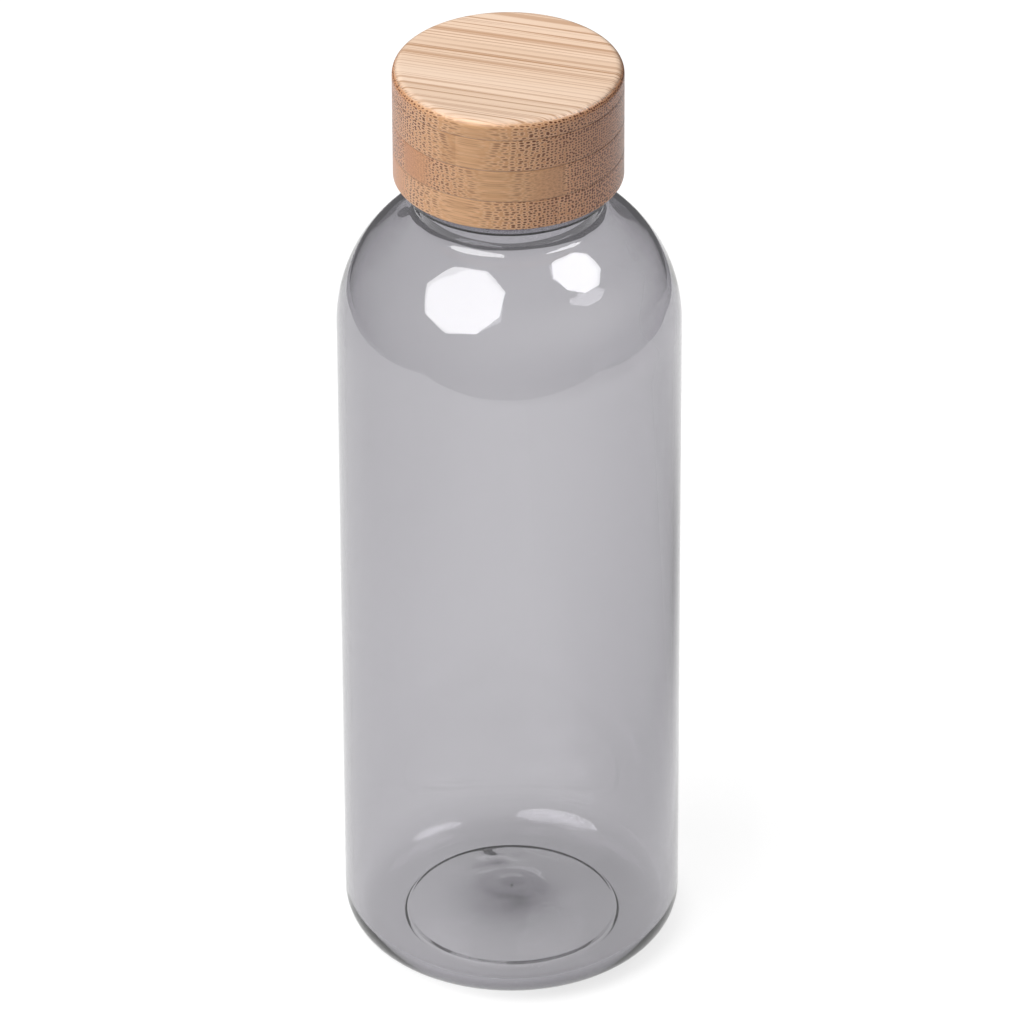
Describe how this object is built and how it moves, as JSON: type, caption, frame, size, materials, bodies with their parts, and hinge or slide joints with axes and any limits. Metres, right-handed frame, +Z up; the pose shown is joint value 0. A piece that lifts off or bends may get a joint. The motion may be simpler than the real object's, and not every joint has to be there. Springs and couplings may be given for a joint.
{
  "type": "water bottle",
  "caption": "Tall clear grey drinking bottle with a round shoulder, a short neck with a carrying ring, a pushed-up base and a laminated bamboo screw cap with a threaded liner and seal.",
  "frame": {"origin": "centre of the circle the bottle stands on, at the level of the surface it stands on", "axes": "+Z up along the bottle's axis towards the cap; +X to the right and +Y away from a viewer who faces the front"},
  "size_m": [0.073, 0.073, 0.213],
  "materials": {
    "clear_grey": "polished, clear, smoky grey tint",
    "silicone": "satin translucent white",
    "liner": "fine moulded satin",
    "bamboo": "laminated bamboo, turned and sanded, long grain on top and end grain dots round the side"
  },
  "bodies": {
    "bottle": {"bottle_body": "clear_grey"},
    "washer": {"seal_ring": "silicone"},
    "cap": {"cap_liner": "liner", "top_ply_front": "bamboo", "top_ply_middle": "bamboo", "top_ply_back": "bamboo", "upper_ply_front": "bamboo", "upper_ply_middle": "bamboo", "upper_ply_back": "bamboo", "lower_ply_front": "bamboo", "lower_ply_left": "bamboo", "lower_ply_right": "bamboo", "lower_ply_back": "bamboo", "rim_ply_front": "bamboo", "rim_ply_left": "bamboo", "rim_ply_right": "bamboo", "rim_ply_back": "bamboo"}
  },
  "joints": [
    {"name": "cap_lift", "type": "slide", "parent": "bottle", "child": "washer", "axis": [0, 0, 1], "range_m": [0, 0.024]},
    {"name": "cap_turn", "type": "hinge", "parent": "washer", "child": "cap", "pos_m": [0, 0, 0.2], "axis": [0, 0, 1], "range_deg": [0, 2160]}
  ],
  "couplings": [
    {"joint": "cap_lift", "follows": "cap_turn", "m_per_rad": 0.00063662}
  ]
}
